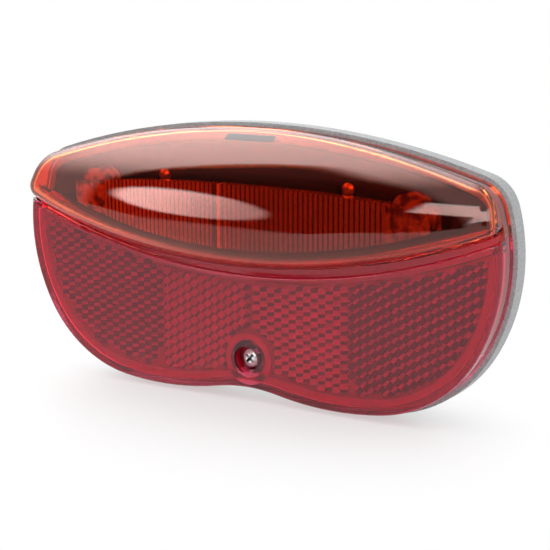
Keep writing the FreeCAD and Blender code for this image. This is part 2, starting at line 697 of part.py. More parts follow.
def rim_gasket():
    squeeze = size("gasket_squeeze")
    outer = size("gasket_inset") + squeeze
    inner = size("gasket_inset") + size("gasket_width") - squeeze
    floor = size("lens_rear") - size("seam") - size("gasket_depth") + squeeze
    height = "gasket_depth + seam/2 - gasket_squeeze"
    return finished(cut("gasket", prism("gasket_outer", outline("gasket_outline", outer, floor), height),
                        prism("gasket_inner", outline("gasket_core", inner, floor), height)), "rim_gasket")


# Black inner tray with the shelf that the light guide stands on

def inner_tray():
    inset = size("tray_inset")
    back = size("tray_reach") - size("tray_thickness")
    plate = prism("tray_column", outline("tray_outline", inset, back), "tray_thickness")
    below = block("tray_below", "-%.4f" % half_width(), "tray_reach - 2*tray_thickness", "dip_height*2",
                  "%.4f" % (2 * half_width()), "3*tray_thickness", "tray_low - dip_height*2")
    under = raised(window_edge(), size("shelf_rise"))
    band = prism("shelf_band", hollow_region("shelf_edges", back, under,
                                             raised(under, size("tray_thickness"))), "nose_reach")
    limits = block("shelf_limits", "-shelf_half_length", "rim_back", "dip_height", "2*shelf_half_length",
                   "nose_reach", "2*arch_top - dip_height")
    front = window_form("shelf_form", size("guide_gap") - size("shelf_edge"))
    shelf = common("shelf", common("shelf_middle", band, limits), front)
    bosses = []
    holes = []
    for side, sign in (("left", "-"), ("right", "")):
        bosses.append(rod("tray_boss_" + side, "post_diameter/2",
                          "tray_reach - tray_thickness/2 - board_reach - board_thickness",
                          sign + "post_x", "board_reach + board_thickness", "post_height"))
        holes.append(rod("tray_hole_" + side, "tray_screw_diameter/2 + screw_running_fit", "lens_face",
                         sign + "post_x", "board_reach", "post_height"))
        holes.append(rod("collar_hole_" + side, "collar_diameter/2 + guide_seat", "lens_face",
                         sign + "led_x", "board_reach", "led_height"))
    mass = fused("tray_mass", cut("tray_plate", plate, below), shelf, *bosses)
    return finished(cut("tray", mass, *holes), "inner_tray")


def light_guide():
    """Fluted strip bent like the window, with a block and a round collar over each light source."""
    outer = plan_radius() - size("guide_gap")
    axis = plan_radius() - size("nose_reach")
    inner = outer - size("guide_thickness")
    half = math.asin(size("guide_half_length") / outer)
    count = int(2 * half * outer / size("flute_pitch"))
    rise = size("shelf_rise") + size("tray_thickness") + size("guide_seat")

    def spot(radius, angle):
        return Vector(radius * math.sin(angle), axis - radius * math.cos(angle), size("window_low"))

    step = 2 * half / count
    crest = outer + size("flute_depth")
    edges = []
    for number in range(count):
        start = -half + number * step
        edges.append(Part.Arc(spot(outer, start), spot(crest, start + step / 2),
                              spot(outer, start + step)).toShape())
    edges.append(Part.Arc(spot(inner, -half), spot(inner, 0), spot(inner, half)).toShape())
    for side in (-1, 1):
        edges.append(Part.makeLine(spot(inner, side * half), spot(outer, side * half)))
    profile = Part.Face(Part.Wire(Part.__sortEdges__(edges)))
    strip = doc.addObject("Part::Feature", "fluted_strip")
    strip.Shape = profile.extrude(Vector(0, 0, size("arch_top") - size("window_low")))
    ends = [block("end_block_left", "-guide_half_length", "tray_reach + guide_seat", "window_low",
                  "end_block", "nose_reach", "arch_top - window_low"),
            block("end_block_right", "guide_half_length - end_block", "tray_reach + guide_seat",
                  "window_low", "end_block", "nose_reach", "arch_top - window_low")]
    behind = window_form("guide_form", size("guide_gap") + size("guide_thickness") / 2)
    blocks = common("end_blocks", fused("end_block_pair", *ends), behind)
    lower = prism("guide_below", hollow_region("guide_lower_edge", size("rim_back"), None,
                                               raised(window_edge(), rise)), "nose_reach")
    top = Part.Face(Part.Wire(Part.makeCircle(size("guide_top_radius"), Vector(
        0, -size("rim_back"), size("guide_top") - size("guide_top_radius")), Vector(0, 1, 0))))
    crown = doc.addObject("Part::Feature", "guide_crown")
    crown.Shape = top.extrude(Vector(0, -size("nose_reach"), 0))
    bent = cut("guide_bent", common("guide_crowned", fused("guide_mass", strip, blocks), crown), lower)
    collars = []
    pockets = []
    for side, sign in (("left", "-"), ("right", "")):
        collars.append(rod("collar_" + side, "collar_diameter/2",
                           "nose_reach - guide_gap - guide_thickness/2 - collar_back - led_x*led_x/(2*%.4f)"
                           % plan_radius(), sign + "led_x", "collar_back", "led_height"))
        pockets.append(rod("led_pocket_" + side, "led_diameter/2 + led_pocket_clearance",
                           "board_reach + board_thickness + led_barrel + led_diameter/2"
                           " + led_pocket_clearance - rim_back", sign + "led_x", "rim_back", "led_height"))
    mass = fused("guide_with_collars", bent, *collars)
    mass.Refine = False
    return finished(cut("guide", mass, *pockets), "light_guide")


# Circuit board and what it carries

def circuit_board():
    plate = block("board_blank", "-board_half_length", "board_reach", "board_low", "2*board_half_length",
                  "board_thickness", "board_top - board_low")
    holes = [rod("board_hole_" + side, "tray_screw_diameter/2 + screw_running_fit", "lens_face",
                 sign + "post_x", "rim_back - overshoot", "post_height") for side, sign in
             (("left", "-"), ("right", ""))]
    return finished(cut("board", plate, *holes), "circuit_board")


def leds():
    domes = []
    for side, sign in (("left", "-"), ("right", "")):
        barrel = rod("led_barrel_" + side, "led_diameter/2", "led_barrel", sign + "led_x",
                     "board_reach + board_thickness", "led_height")
        dome = bind(doc.addObject("Part::Sphere", "led_dome_" + side), Radius="led_diameter/2")
        place(dome, sign + "led_x", "board_reach + board_thickness + led_barrel", "led_height")
        domes.append(fused("led_" + side, barrel, dome))
    return finished(compound("led_pair", domes), "leds")


def compound(name, members):
    made = doc.addObject("Part::Compound", name)
    made.Links = members
    return made


def board_components():
    """A control chip, a coil and a row of small resistors on the front of the board."""
    front = "board_reach + board_thickness"
    parts = [block("chip", "-chip_size/2", front, "board_low + component_rise", "chip_size",
                   "chip_thickness", "chip_size"),
             rod("coil", "coil_diameter/2", "coil_thickness", "coil_x", front,
                 "board_low + component_rise + coil_diameter/2")]
    for number in range(4):
        parts.append(block("resistor_%d" % number, "resistor_x + %d*resistor_pitch" % number, front,
                           "board_low + component_rise", "resistor_width", "resistor_thickness",
                           "resistor_length"))
    return finished(compound("components", parts), "board_components")


def screw(name, x, seat, height, diameter, length, head, head_height):
    """Pan head screw whose head rests on a seat and whose shank runs to the rear."""
    domed = "%s/4" % head
    points = [("0", "-(%s)" % length), ("%s/2 - %s/8" % (diameter, diameter), "-(%s)" % length),
              ("%s/2" % diameter, "-(%s) + %s/4" % (length, diameter)), ("%s/2" % diameter, "0"),
              ("%s/2" % head, "0"), ("%s/2" % head, "%s/2" % head_height), (domed, head_height),
              ("0", head_height)]
    return turned(name, points, x, seat, height)


def lens_screw():
    return finished(screw("lens_screw", "0", "lens_face - counterbore_depth + screw_running_fit",
                          "screw_height", "screw_diameter", "screw_length", "screw_head_diameter",
                          "screw_head_height"), "lens_screw")


def tray_screws():
    pair = [screw("tray_screw_" + side, sign + "post_x", "tray_reach", "post_height",
                  "tray_screw_diameter", "tray_screw_length", "tray_screw_head",
                  "tray_screw_head_height") for side, sign in (("left", "-"), ("right", ""))]
    return finished(compound("tray_screw_pair", pair), "tray_screws")


def boss_seal():
    """Flat rubber ring in a recess of the boss, round the lens screw."""
    inner = "screw_diameter/2 + screw_clearance/2"
    outer = "screw_diameter/2 + screw_clearance/2 + ring_section"
    points = [(inner, "0"), (outer, "0"), (outer, "ring_section"), (inner, "ring_section")]
    return finished(turned("boss_seal", points, "0", "lens_face - counterbore_depth - counterbore_floor"
                           " - seam - ring_section", "screw_height"), "boss_seal")


def mount_studs():
    """Hexagon head bolts, held in the pockets of the housing, that stick out behind it."""
    pair = []
    for side, sign in (("left", "-"), ("right", "")):
        head = bind(doc.addObject("Part::Prism", "stud_head_" + side),
                    Circumradius="stud_head/2/cos(30deg)", Height="stud_head_height")
        place(head, sign + "stud_spacing/2", "stud_seat", "0", FORWARD)
        shoulder = rod("stud_shoulder_" + side, "stud_shoulder/2", "stud_seat", sign + "stud_spacing/2")
        shank = rod("stud_shank_" + side, "stud_diameter/2", "stud_length", sign + "stud_spacing/2",
                    "-stud_length")
        point = bind(doc.addObject("Part::Cone", "stud_point_" + side), Height="stud_point",
                     Radius1="stud_diameter/2 - stud_point", Radius2="stud_diameter/2")
        place(point, sign + "stud_spacing/2", "-stud_length - stud_point", "0", FORWARD)
        pair.append(fused("stud_" + side, head, shoulder, shank, point))
    return finished(compound("stud_pair", pair), "mount_studs")


# Cells and their contacts

def cell(name, start):
    edge = "cell_diameter/30"
    points = [("0", "0"), ("cell_diameter/2 - %s" % edge, "0"), ("cell_diameter/2", edge),
              ("cell_diameter/2", "cell_length - %s" % edge),
              ("cell_diameter/2 - %s" % edge, "cell_length"), ("cell_nose_diameter/2", "cell_length"),
              ("cell_nose_diameter/2", "cell_length + cell_nose_length"),
              ("0", "cell_length + cell_nose_length")]
    return finished(turned(name, points, start, "cell_reach", "cell_height", SIDEWAYS), name)


def contact_plate_left():
    return finished(block("contact_sheet_left", CONTACT_LEFT + " - contact_thickness",
                          "back_face + housing_wall", "cell_height - contact_size/2 + cradle_fit",
                          "contact_thickness", "cell_reach - back_face - housing_wall + contact_size/2",
                          "contact_size - 2*cradle_fit"), "contact_plate_left")


def contact_plate_right():
    """Sheet with a pressed dimple that meets the nose of the right cell."""
    sheet_metal = block("contact_sheet_right", CONTACT_RIGHT, "back_face + housing_wall",
                        "cell_height - contact_size/2 + cradle_fit", "contact_thickness",
                        "cell_reach - back_face - housing_wall + contact_size/2",
                        "contact_size - 2*cradle_fit")
    dimple = bind(doc.addObject("Part::Cone", "contact_dimple"), Radius1="cell_nose_diameter/4",
                  Radius2="cell_nose_diameter/2", Height="contact_pip - cell_gap")
    place(dimple, CONTACT_RIGHT + " - contact_pip + cell_gap", "cell_reach", "cell_height", SIDEWAYS)
    return finished(fused("contact_right_part", sheet_metal, dimple), "contact_plate_right")


def contact_spring():
    """Conical spring between the left contact plate and the base of the left cell."""
    base, tip = size("spring_base_radius"), size("spring_tip_radius")
    room = size("spring_room") - size("spring_wire") - 2 * size("cell_gap")
    quarters = int(size("spring_turns") * 4)

    def spot(step):
        share = step / quarters
        radius = base + (tip - base) * share
        angle = math.radians(90) * step
        return Vector(radius * math.cos(angle), radius * math.sin(angle), room * share)

    path = Part.Wire([Part.Arc(spot(step), spot(step + 0.5), spot(step + 1)).toShape()
                      for step in range(quarters)])
    ring = Part.Wire(Part.makeCircle(size("spring_wire") / 2, spot(0), Vector(0, 1, 0)))
    made = doc.addObject("Part::Feature", "spring")
    made.Shape = path.makePipeShell([ring], True, False)
    place(made, CONTACT_LEFT + " + spring_wire/2 + cell_gap", "cell_reach", "cell_height", SIDEWAYS)
    return finished(made, "contact_spring")


# Push button under the right lobe and the switch above it

def power_button():
    seat = "collar_floor + button_fit/2"
    flange = "collar_floor + button_flange"
    points = [("0", "-button_proud"), ("button_diameter/2 - button_proud", "-button_proud"),
              ("button_diameter/2", "0"), ("button_diameter/2", seat),
              ("button_flange_diameter/2", seat), ("button_flange_diameter/2", flange),
              ("plunger_diameter/2", flange), ("plunger_diameter/2", flange + " + button_stem"),
              ("0", flange + " + button_stem")]
    return finished(turned("power_button", points, "button_x", "button_reach", "collar_low", Rotation()),
                    "power_button")


def switch_plunger():
    low = "collar_low + collar_floor + button_flange + button_stem"
    return finished(rod("plunger", "plunger_diameter/2 - button_fit",
                        "plunger_length + switch_body_height/3", "button_x", "button_reach", low,
                        Rotation()), "switch_plunger")


def tact_switch():
    low = "collar_low + collar_floor + button_flange + button_stem + plunger_length"
    body = block("switch_body", "button_x - switch_size/2", "button_reach - switch_size/2", low,
                 "switch_size", "switch_size", "switch_body_height")
    well = rod("plunger_well", "plunger_diameter/2", "switch_body_height/3 + button_travel + button_fit",
               "button_x", "button_reach", low, Rotation())
    return finished(cut("switch", body, well), "tact_switch")


def switch_board():
    return finished(block("small_board", "button_x - switch_board_length/2",
                          "button_reach - switch_board_depth/2",
                          "collar_low + collar_floor + button_flange + button_stem + plunger_length"
                          " + switch_body_height", "switch_board_length", "switch_board_depth",
                          "board_thickness"), "switch_board")


# Wires: straight runs joined by arcs that are as large as the runs allow

def wire(name, corners):
    """Insulated wire through corners given as x, reach and height."""
    spots = [Vector(x, -reach, height) for x, reach, height in corners]
    edges = []
    start = spots[0]
    for before, corner, after in zip(spots, spots[1:], spots[2:]):
        back, ahead = before - corner, after - corner
        shorter = 0.45 * min(back.Length, ahead.Length)
        back.normalize()
        ahead.normalize()
        middle = back + ahead
        middle.normalize()
        half = (math.pi - back.getAngle(ahead)) / 2
        radius = shorter / math.tan(half)
        entry, leave = corner + back * shorter, corner + ahead * shorter
        edges.append(Part.makeLine(start, entry))
        edges.append(Part.Arc(entry, corner + middle * (radius / math.cos(half) - radius), leave).toShape())
        start = leave
    edges.append(Part.makeLine(start, spots[-1]))
    path = Part.Wire(edges)
    heading = spots[1] - spots[0]
    ring = Part.Wire(Part.makeCircle(size("wire_diameter") / 2, spots[0], heading))
    made = doc.addObject("Part::Feature", name)
    made.Shape = path.makePipeShell([ring], True, False)
    return made


def switch_wires():
    """From the small board, down a channel behind the cells, to the rear of the large board."""
    level = (size("collar_low") + size("collar_floor") + size("button_flange") + size("button_stem")
             + size("plunger_length") + size("switch_body_height") + size("board_thickness"))
    under = size("cell_height") - size("cell_diameter") / 2
    over = size("cell_height") + size("cell_diameter") / 2
    thick = size("wire_diameter")
    channel = size("back_face") + size("housing_wall") - thick / 2
    start = size("button_reach") - size("switch_board_depth") / 2 + thick
    pair = []
    for side in (-1, 1):
        x = size("button_x") + side * size("wire_pitch") / 2
        pair.append(wire("switch_wire_%d" % (side + 1), (
            (x, start, level), (x, start, level + 1.5 * thick), (x, channel, under - thick / 2),
            (x, channel, over + thick), (x, channel + 3 * thick, over + 6 * thick),
            (x, size("board_reach") - 4 * thick, size("board_low") + 3 * thick),
            (x, size("board_reach"), size("board_low") + 3 * thick))))
    return finished(compound("switch_wire_pair", pair), "switch_wires")


def battery_leads():
    """From the top of each contact plate to the rear of the large board."""
    top = size("cell_height") + size("contact_size") / 2 - size("cradle_fit")
    thick = size("wire_diameter")
    pair = []
    contact = half_width() - size("end_room") + size("contact_thickness") / 2
    for name, side in (("left", -1), ("right", 1)):
        x = side * contact
        end = side * (size("board_half_length") - 2 * thick)
        reach = size("cell_reach")
        pair.append(wire("lead_" + name, (
            (x, reach, top), (x, reach, top + 8 * thick),
            (end, size("board_reach") - 5 * thick, size("board_low") + 2 * thick),
            (end, size("board_reach"), size("board_low") + 2 * thick))))
    return finished(compound("lead_pair", pair), "battery_leads")


rear_housing()
front_lens()
reflector("reflex_panel", size("lens_face") - size("plate_thickness") - size("reflex_gap")
          - size("reflex_thickness"), "reflex_thickness")
reflector("reflex_cover", size("lens_face") - size("plate_thickness") - 2 * size("reflex_gap")
          - size("reflex_thickness") - size("reflex_cover"), "reflex_cover")
rim_gasket()
inner_tray()
light_guide()
circuit_board()
leds()
board_components()
lens_screw()
tray_screws()
boss_seal()
mount_studs()
cell("battery_left", CELL_START)
cell("battery_right", CELL_START + " + cell_length + cell_nose_length + cell_gap")
contact_plate_left()
contact_plate_right()
contact_spring()
power_button()
switch_plunger()
tact_switch()
switch_board()
switch_wires()
battery_leads()

doc.recompute()
for thing in doc.Objects:
    trouble = [word for word in ("Invalid", "Error") if word in thing.State]
    if trouble:
        raise RuntimeError("%s is %s" % (thing.Name, ", ".join(trouble)))
for thing in subparts:
    if thing.Shape.isNull() or not thing.Shape.isValid():
        raise RuntimeError("%s has no valid shape" % thing.Label)
os.makedirs("parts", exist_ok=True)
for thing in subparts:
    thing.Shape.exportStep("parts/%s.step" % thing.Label)
    box = thing.Shape.BoundBox
    print("%-20s %2d solids %9.1f mm3  X %6.1f %6.1f  Y %6.1f %6.1f  Z %6.1f %6.1f" % (
        thing.Label, len(thing.Shape.Solids), thing.Shape.Volume, box.XMin, box.XMax, box.YMin,
        box.YMax, box.ZMin, box.ZMax))
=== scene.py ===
import math

import bmesh
import bpy
from mathutils import Matrix, Vector
from mathutils.bvhtree import BVHTree


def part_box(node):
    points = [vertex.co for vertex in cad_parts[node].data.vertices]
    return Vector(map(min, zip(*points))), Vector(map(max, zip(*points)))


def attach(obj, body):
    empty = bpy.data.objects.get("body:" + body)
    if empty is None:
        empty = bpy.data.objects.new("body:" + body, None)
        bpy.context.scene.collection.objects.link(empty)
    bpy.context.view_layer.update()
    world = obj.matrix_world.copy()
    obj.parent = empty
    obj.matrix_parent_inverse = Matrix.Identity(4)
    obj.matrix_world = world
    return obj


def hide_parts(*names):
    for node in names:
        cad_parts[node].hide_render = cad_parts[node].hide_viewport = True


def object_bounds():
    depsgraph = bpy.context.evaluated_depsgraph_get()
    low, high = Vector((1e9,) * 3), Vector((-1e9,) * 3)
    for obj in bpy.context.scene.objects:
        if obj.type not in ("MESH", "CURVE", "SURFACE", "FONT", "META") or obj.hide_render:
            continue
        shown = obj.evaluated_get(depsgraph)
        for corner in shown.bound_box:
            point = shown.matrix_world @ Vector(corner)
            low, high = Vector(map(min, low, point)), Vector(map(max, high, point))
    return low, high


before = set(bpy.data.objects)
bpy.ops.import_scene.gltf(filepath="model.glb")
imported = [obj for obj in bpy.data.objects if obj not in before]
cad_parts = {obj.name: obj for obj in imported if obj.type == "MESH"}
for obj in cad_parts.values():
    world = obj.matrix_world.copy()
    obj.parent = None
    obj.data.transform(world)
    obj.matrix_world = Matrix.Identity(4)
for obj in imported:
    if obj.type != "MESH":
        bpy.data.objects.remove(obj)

cad_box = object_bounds()


# Mounting studs.
# Two M5 hexagon head screws of zinc-plated steel. Each head sits in a boss inside the
# housing, and its rolled thread stands out of the back for the plate of the carrier.
MM = 0.001
stud_diameter = 5 * MM
stud_pitch = 0.8 * MM
stud_spacing = 80 * MM
stud_neck = 0.6 * MM
stud_facets = 24
thread_flank = 0.4      # shares of the pitch: a flank, a flat and the thread's depth
thread_flat = 0.1
thread_depth = 0.6


def linear(colour):
    """The sRGB colour "#rrggbb" as linear light, with an alpha of one."""
    parts = [int(colour[at:at + 2], 16) / 255 for at in (1, 3, 5)]
    light = [part / 12.92 if part <= 0.04045 else ((part + 0.055) / 1.055) ** 2.4 for part in parts]
    return tuple(light) + (1.0,)


def material(name):
    """A new material with no nodes yet."""
    made = bpy.data.materials.new(name)
    made.use_nodes = True
    made.node_tree.nodes.clear()
    return made


def add(made, kind, settings=None, links=None, stops=()):
    """Adds a node. Settings name a socket or a property, links name a socket's source, and stops
    are the places and colours of a ramp."""
    node = made.node_tree.nodes.new(kind)
    values = settings or {}
    for name in [name for name in values if not isinstance(name, int) and name not in node.inputs]:
        setattr(node, name, values[name])
    for name in [name for name in values if isinstance(name, int) or name in node.inputs]:
        node.inputs[name].default_value = values[name]
    for name, (source, outlet) in (links or {}).items():
        made.node_tree.links.new(source.outputs[outlet], node.inputs[name])
    for at, (place, colour) in enumerate(stops):
        node.color_ramp.elements[at].position = place
        node.color_ramp.elements[at].color = linear(colour)
    return node


def dress(finish, *names):
    """Gives CAD nodes a finish."""
    for name in names:
        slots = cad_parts[name].data.materials
        slots.clear()
        slots.append(finish)


def speckle(made, size, low, high):
    """A two-tone grain of the given size, which stays in its place on the piece."""
    place = add(made, "ShaderNodeTexCoord")
    grain = add(made, "ShaderNodeTexNoise", {"Scale": 1 / size, "Detail": 3.0, "Roughness": 0.6},
                {"Vector": (place, "Object")})
    tone = add(made, "ShaderNodeValToRGB", None, {"Fac": (grain, "Fac")}, ((0.35, low), (0.65, high)))
    return grain, tone


def moulded(name, size, low, high, relief, settings):
    """An opaque finish: a speckled colour, a fine relief of the same grain and a shader."""
    made = material(name)
    grain, tone = speckle(made, size, low, high)
    bump = add(made, "ShaderNodeBump", {"Strength": 0.6, "Distance": relief}, {"Height": (grain, "Fac")})
    shader = add(made, "ShaderNodeBsdfPrincipled", settings,
                 {"Base Color": (tone, "Color"), "Normal": (bump, "Normal")})
    add(made, "ShaderNodeOutputMaterial", None, {"Surface": (shader, "BSDF")})
    return made


def cad_form(name):
    """A merged copy of a CAD node's mesh."""
    form = bmesh.new()
    form.from_mesh(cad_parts[name].data)
    bmesh.ops.remove_doubles(form, verts=form.verts, dist=0.0005 * MM)
    return form


def cut(form, point, away):
    """Cuts a form at a plane, takes off the side that the direction names and closes the cut."""
    everything = form.verts[:] + form.edges[:] + form.faces[:]
    done = bmesh.ops.bisect_plane(form, geom=everything, plane_co=point, plane_no=away, clear_outer=True)
    rim = [part for part in done["geom_cut"] if isinstance(part, bmesh.types.BMEdge)]
    bmesh.ops.triangle_fill(form, edges=rim, use_beauty=True)


def take_in(form, other):
    """Adds a second form to the first."""
    carried = bpy.data.meshes.new("carried")
    other.to_mesh(carried)
    other.free()
    form.from_mesh(carried)
    bpy.data.meshes.remove(carried)


def lay_out(name, form):
    """Makes a form an object."""
    mesh = bpy.data.meshes.new(name)
    form.to_mesh(mesh)
    form.free()
    laid = bpy.data.objects.new(name, mesh)
    bpy.context.scene.collection.objects.link(laid)
    return laid


def finish_piece(name, form, finishes, body, slot, *replaced):
    """Makes a form a piece with its finishes, and says what it rides and replaces. Its slot is not used."""
    bmesh.ops.recalc_face_normals(form, faces=form.faces)
    made = lay_out(name, form)
    for finish in finishes:
        made.data.materials.append(finish)
    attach(made, body)
    if replaced:
        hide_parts(*replaced)


def rolled_thread(diameter, pitch, start, end, facets):
    """A threaded shank along Y: one pitch of its profile is spun up the axis, then cut to length."""
    form = bmesh.new()
    crest = diameter / 2
    root = crest - thread_depth * pitch
    rise = thread_flat + thread_flank
    profile = [(root, 0), (root, thread_flat), (crest, rise), (crest, rise + thread_flat), (root, 1)]
    points = [form.verts.new((across, start - pitch + share * pitch, 0)) for across, share in profile]
    edges = [form.edges.new(pair) for pair in zip(points, points[1:])]
    turns = math.ceil((end - start) / pitch) + 2
    bmesh.ops.spin(form, geom=points + edges, cent=(0, 0, 0), axis=(0, -1, 0), angle=math.tau * turns,
                   dvec=(0, pitch / facets, 0), steps=facets * turns, use_merge=False)
    bmesh.ops.remove_doubles(form, verts=form.verts, dist=0.01 * MM)
    cut(form, (0, start, 0), (0, -1, 0))
    cut(form, (0, end, 0), (0, 1, 0))
    for vert in form.verts:
        reach = math.hypot(vert.co.x, vert.co.z)
        limit = crest - max(0, vert.co.y - (end - pitch))
        if reach > limit:
            vert.co.x *= limit / reach
            vert.co.z *= limit / reach
    return form


# Zinc plating is a bluish white metal, a little cloudy. Its grain is drawn coarse to show.
zinc = moulded("zinc_plated_steel", 1.2 * MM, "#a9adb3", "#c9ccd0", 0.004 * MM,
               {"Metallic": 1.0, "Roughness": 0.32})
studs = cad_form("mount_studs")
cut(studs, (0, stud_neck, 0), (0, 1, 0))
stud_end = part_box("mount_studs")[1][1]
for side in (-1, 1):
    thread = rolled_thread(stud_diameter, stud_pitch, stud_neck, stud_end, stud_facets)
    bmesh.ops.translate(thread, verts=thread.verts, vec=(side * stud_spacing / 2, 0, 0))
    take_in(studs, thread)
finish_piece("mount_stud_screws", studs, (zinc,), "housing", "screw_zinc", "mount_studs")


# Rear housing.
# One deep shell of grey ABS. Its rim frames the lens, and its inside carries the cradles, the
# posts and the bosses. The spark-eroded mould gives an even, matt grain with a faint sparkle.
abs_grey = moulded("grey_abs_spark_eroded", 0.5 * MM, "#8b8d8f", "#a9abac", 0.07 * MM,
                   {"Roughness": 0.55, "IOR": 1.53})
dress(abs_grey, "rear_housing")


# Seals and button.
# The ring round the lens screw and the push button are moulded of black EPDM, matt and a
# little dusty. The seal in the rim is pale grey silicone, which lightens the lens's edge.
rubber = moulded("epdm_rubber", 0.4 * MM, "#17181a", "#2a2b2e", 0.02 * MM,
                 {"Roughness": 0.7, "IOR": 1.5})
dress(rubber, "boss_seal", "power_button")
silicone = moulded("grey_silicone", 1.2 * MM, "#bcbbb8", "#cfcecb", 0.02 * MM,
                   {"Roughness": 0.5, "IOR": 1.42})
dress(silicone, "rim_gasket")


# Cells and contacts.
# Two AA cells in a glossy blue plastic wrap lie in the cradles. A conical spring and plates
# press on them, of spring steel whose nickel plating looks warm and bright.
foil = moulded("printed_cell_wrap", 4 * MM, "#2c5a86", "#33658f", 0.004 * MM,
               {"Roughness": 0.3, "Coat Weight": 0.4})
dress(foil, "battery_left", "battery_right")
nickel = moulded("nickel_plated_spring_steel", 1 * MM, "#c3bdb2", "#dcd6ca", 0.004 * MM,
                 {"Metallic": 1.0, "Roughness": 0.22})
dress(nickel, "contact_plate_left", "contact_plate_right", "contact_spring")


# Boards and parts on them.
# Both boards are glass fibre laminate under green solder mask, whose weave shows faintly. Chip,
# coil, resistors and switch body are matt black epoxy, and the light sources clear red epoxy.
laminate = moulded("solder_masked_laminate", 0.9 * MM, "#0f4a2a", "#17603a", 0.01 * MM,
                   {"Roughness": 0.3})
dress(laminate, "circuit_board", "switch_board")
epoxy = moulded("black_epoxy", 0.3 * MM, "#141416", "#232427", 0.01 * MM, {"Roughness": 0.45})
dress(epoxy, "board_components", "tact_switch")
led_red = moulded("red_epoxy_lens", 2 * MM, "#ff4a22", "#ff6a32", 0.002 * MM,
                  {"Roughness": 0.08, "Transmission Weight": 0.6, "IOR": 1.53})
dress(led_red, "leds")


# Wires.
# Thin stranded wires join the small board and the contacts to the main board. They are soldered
# at both ends, and their soft red PVC has a dull gloss.
pvc = moulded("pvc_insulation", 2 * MM, "#8e1512", "#a81d18", 0.005 * MM, {"Roughness": 0.4})
dress(pvc, "switch_wires", "battery_leads")


# Inner tray and its screws.
# The tray with its shelf is black ABS from a polished mould, so it mirrors a little. Two
# zinc-plated screws hold it to the posts.
tray_black = moulded("black_abs_gloss", 0.8 * MM, "#151416", "#211f21", 0.003 * MM,
                     {"Roughness": 0.22, "IOR": 1.53})
dress(tray_black, "inner_tray")
dress(zinc, "tray_screws")


# Light guide.
# A bar of clear polycarbonate lies on the shelf. Its upright flutes spread the light of the two
# sources over the width of the window, and they show as bright ribs between plain round
# collars. The two halves meet near the middle; the gap there is painted dark as shade, and one
# rib there has a painted highlight.
flute_pitch = 1.313 * MM
flute_reach = 40.5 * MM
painted_facet_size = 3 * MM
rib_place = -3.75 * MM
rib_half = 0.45 * MM
gap_half = 0.75 * MM
painted_light_end = -30 * MM
clear_end = 8 * MM
flutes_clearer = 0.12
painted_rib_less_clear = -0.5
wave_period = math.pi / 10       # the wave texture's own period at a scale of one

# The real flutes are too fine to catch the light in the render, so stripes of the same pitch
# paint shade into their valleys and highlights onto their crests, and a noise of painted light
# and shade stands for the facets of the moulded collars.
guide = material("clear_polycarbonate")
guide_place = add(guide, "ShaderNodeTexCoord")
guide_axes = add(guide, "ShaderNodeSeparateXYZ", None, {"Vector": (guide_place, "Object")})
flute_wave = add(guide, "ShaderNodeTexWave",
                 {"bands_direction": "X", "Scale": wave_period / flute_pitch},
                 {"Vector": (guide_place, "Object")})
flute_painted_light = add(guide, "ShaderNodeValToRGB", None, {"Fac": (flute_wave, "Fac")},
                 ((0.08, "#6e463c"), (0.4, "#fff6ee")))
collar_painted_noise = add(guide, "ShaderNodeTexNoise", {"Scale": 1 / painted_facet_size, "Detail": 1.0},
                    {"Vector": (guide_place, "Object")})
collar_painted_light = add(guide, "ShaderNodeValToRGB", None, {"Fac": (collar_painted_noise, "Fac")},
                  ((0.4, "#7a4a3a"), (0.6, "#fff8ec")))
fluted = add(guide, "ShaderNodeMath", {"operation": "COMPARE", 1: 0.0, 2: flute_reach},
             {0: (guide_axes, "X")})
gap = add(guide, "ShaderNodeMath",
          {"operation": "COMPARE", 1: rib_place - rib_half - gap_half, 2: gap_half},
          {0: (guide_axes, "X")})
rib = add(guide, "ShaderNodeMath", {"operation": "COMPARE", 1: rib_place, 2: rib_half},
          {0: (guide_axes, "X")})
plain_tone = add(guide, "ShaderNodeMix", {"data_type": "RGBA"},
                 {0: (fluted, "Value"), 6: (collar_painted_light, "Color"), 7: (flute_painted_light, "Color")})
# The gap between the halves is painted dark: painted shade.
gap_painted_shade = add(guide, "ShaderNodeMix", {"data_type": "RGBA", 7: linear("#6b4a46")},
               {0: (gap, "Value"), 6: (plain_tone, 2)})
# The rib is painted near white: a painted highlight.
rib_painted_highlight = add(guide, "ShaderNodeMix", {"data_type": "RGBA", 7: linear("#fffdfa")},
               {0: (rib, "Value"), 6: (gap_painted_shade, 2)})
# Less clear towards the left end, so more painted light shows there and the left looks brighter.
clearness = add(guide, "ShaderNodeMapRange",
                {"From Min": painted_light_end, "From Max": clear_end, "To Min": 0.45, "To Max": 0.74},
                {"Value": (guide_axes, "X")})
flutes_clear = add(guide, "ShaderNodeMath", {"operation": "MULTIPLY_ADD", 1: flutes_clearer},
                   {0: (fluted, "Value"), 2: (clearness, "Result")})
# The rib is made less clear, so that its painted highlight shows.
ribs_clear = add(guide, "ShaderNodeMath", {"operation": "MULTIPLY_ADD", 1: painted_rib_less_clear},
                 {0: (rib, "Value"), 2: (flutes_clear, "Value")})
guide_shader = add(guide, "ShaderNodeBsdfPrincipled", {"Roughness": 0.03, "IOR": 1.58},
                   {"Base Color": (rib_painted_highlight, 2), "Transmission Weight": (ribs_clear, "Value")})
add(guide, "ShaderNodeOutputMaterial", None, {"Surface": (guide_shader, "BSDF")})
dress(guide, "light_guide")


# Reflector cover.
# A thin plate of red ABS is welded on behind the prisms and keeps water off them. Its even,
# half matt red brightens everything in front of it.
cover_red = moulded("red_abs_cover", 0.8 * MM, "#c4555e", "#cf626a", 0.02 * MM,
                    {"Roughness": 0.5, "IOR": 1.53})
dress(cover_red, "reflex_cover")


